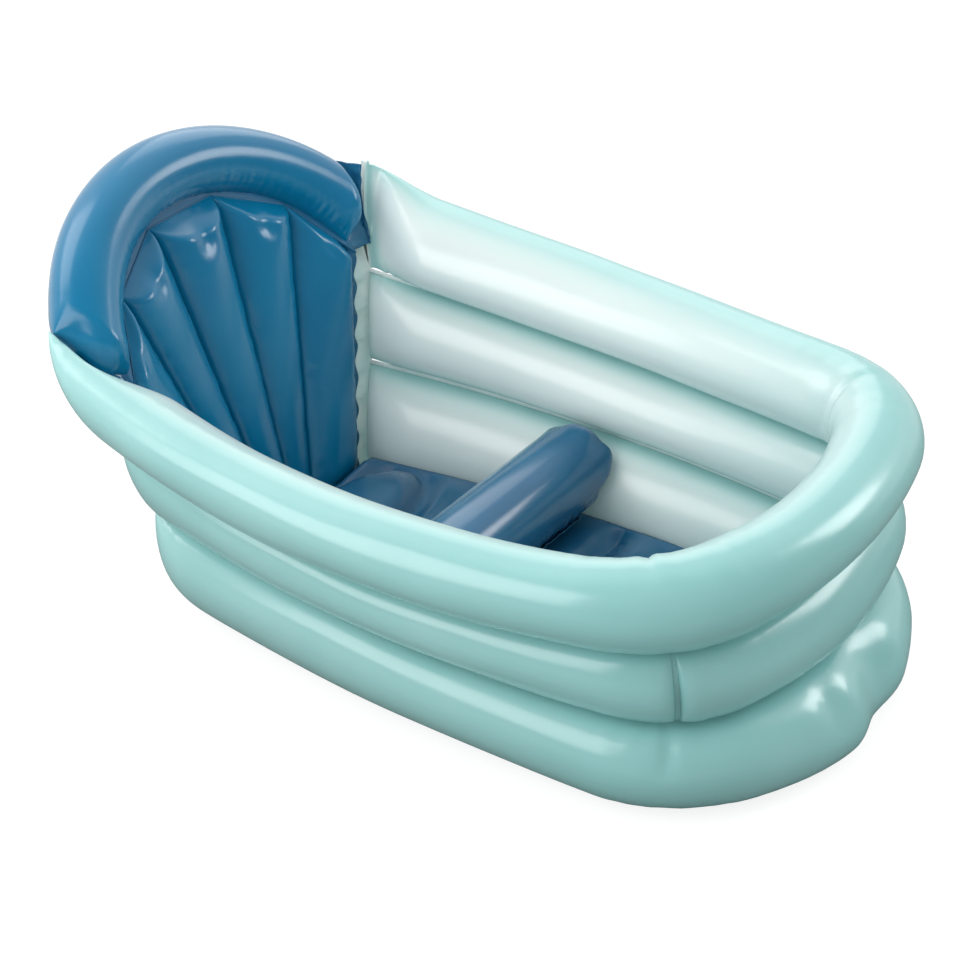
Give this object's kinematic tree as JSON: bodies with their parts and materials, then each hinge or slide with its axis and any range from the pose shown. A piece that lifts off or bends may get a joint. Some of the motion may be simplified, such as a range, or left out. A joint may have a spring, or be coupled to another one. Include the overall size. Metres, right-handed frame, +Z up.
{
  "type": "inflatable baby bathtub",
  "caption": "Free-standing inflatable baby bath: stacked air tubes, fan-ribbed backrest with an arched head roll, air floor, bolster, push-in valves and a drain plug.",
  "frame": {"origin": "centre of the tub's bounding box, at the underside of the base sheet", "axes": "+X from the backrest to the foot end, +Y to the far side where the wall valves are, +Z up"},
  "size_m": [0.9328, 0.6286, 0.4272],
  "materials": {
    "mint_film": "satin-gloss PVC film, slightly translucent",
    "mint_weld_film": "flat welded PVC film",
    "blue_film": "gloss PVC film",
    "clear_plastic": "soft milky clear PVC"
  },
  "bodies": {
    "tub": {"upper_wall_tube": "mint_film", "lower_wall_tube": "mint_film", "middle_wall_tube_near": "mint_film", "middle_wall_tube_foot": "mint_film", "middle_wall_tube_far": "mint_film", "lower_weld_band": "mint_weld_film", "upper_weld_band": "mint_weld_film", "corner_seam_near": "mint_weld_film", "corner_seam_far": "mint_weld_film", "base_sheet": "mint_weld_film", "floor_mat": "blue_film", "bolster_roll": "blue_film", "bolster_weld_strip": "blue_film", "backrest_panel": "blue_film", "headrest_roll": "blue_film", "headrest_seam_strip": "blue_film", "headrest_end_flap_near": "blue_film", "headrest_end_flap_far": "blue_film", "wall_head_margin_near": "mint_weld_film", "wall_head_margin_far": "mint_weld_film", "backrest_margin_near": "blue_film", "backrest_margin_far": "blue_film", "drain_collar": "clear_plastic", "valve_patch_upper_wall": "clear_plastic", "valve_patch_lower_wall": "clear_plastic", "valve_patch_backrest": "clear_plastic", "valve_patch_floor": "clear_plastic"},
    "drain_plug": {"drain_plug": "clear_plastic"},
    "stem_upper_wall": {"valve_stem_upper_wall": "clear_plastic"},
    "plug_upper_wall": {"valve_plug_upper_wall": "clear_plastic"},
    "stem_lower_wall": {"valve_stem_lower_wall": "clear_plastic"},
    "plug_lower_wall": {"valve_plug_lower_wall": "clear_plastic"},
    "stem_backrest": {"valve_stem_backrest": "clear_plastic"},
    "plug_backrest": {"valve_plug_backrest": "clear_plastic"},
    "stem_floor": {"valve_stem_floor": "clear_plastic"},
    "plug_floor": {"valve_plug_floor": "clear_plastic"}
  },
  "joints": [
    {"name": "stem_slide_upper_wall", "type": "slide", "parent": "tub", "child": "stem_upper_wall", "axis": [-0.1333, 0.9911, 0], "range_m": [0, 0.011]},
    {"name": "plug_slide_upper_wall", "type": "slide", "parent": "stem_upper_wall", "child": "plug_upper_wall", "axis": [-0.1333, 0.9911, 0], "range_m": [0, 0.0105]},
    {"name": "stem_slide_lower_wall", "type": "slide", "parent": "tub", "child": "stem_lower_wall", "axis": [-0.1391, 0.9903, 0], "range_m": [0, 0.011]},
    {"name": "plug_slide_lower_wall", "type": "slide", "parent": "stem_lower_wall", "child": "plug_lower_wall", "axis": [-0.1391, 0.9903, 0], "range_m": [0, 0.0105]},
    {"name": "stem_slide_backrest", "type": "slide", "parent": "tub", "child": "stem_backrest", "axis": [-0.7361, 0, -0.6769], "range_m": [0, 0.011]},
    {"name": "plug_slide_backrest", "type": "slide", "parent": "stem_backrest", "child": "plug_backrest", "axis": [-0.7361, 0, -0.6769], "range_m": [0, 0.0105]},
    {"name": "stem_slide_floor", "type": "slide", "parent": "tub", "child": "stem_floor", "axis": [0, 0, 1], "range_m": [0, 0.011]},
    {"name": "plug_slide_floor", "type": "slide", "parent": "stem_floor", "child": "plug_floor", "axis": [0, 0, 1], "range_m": [0, 0.0105]},
    {"name": "drain_plug_lift", "type": "slide", "parent": "tub", "child": "drain_plug", "axis": [0, 0, 1], "range_m": [0, 0.018]}
  ]
}
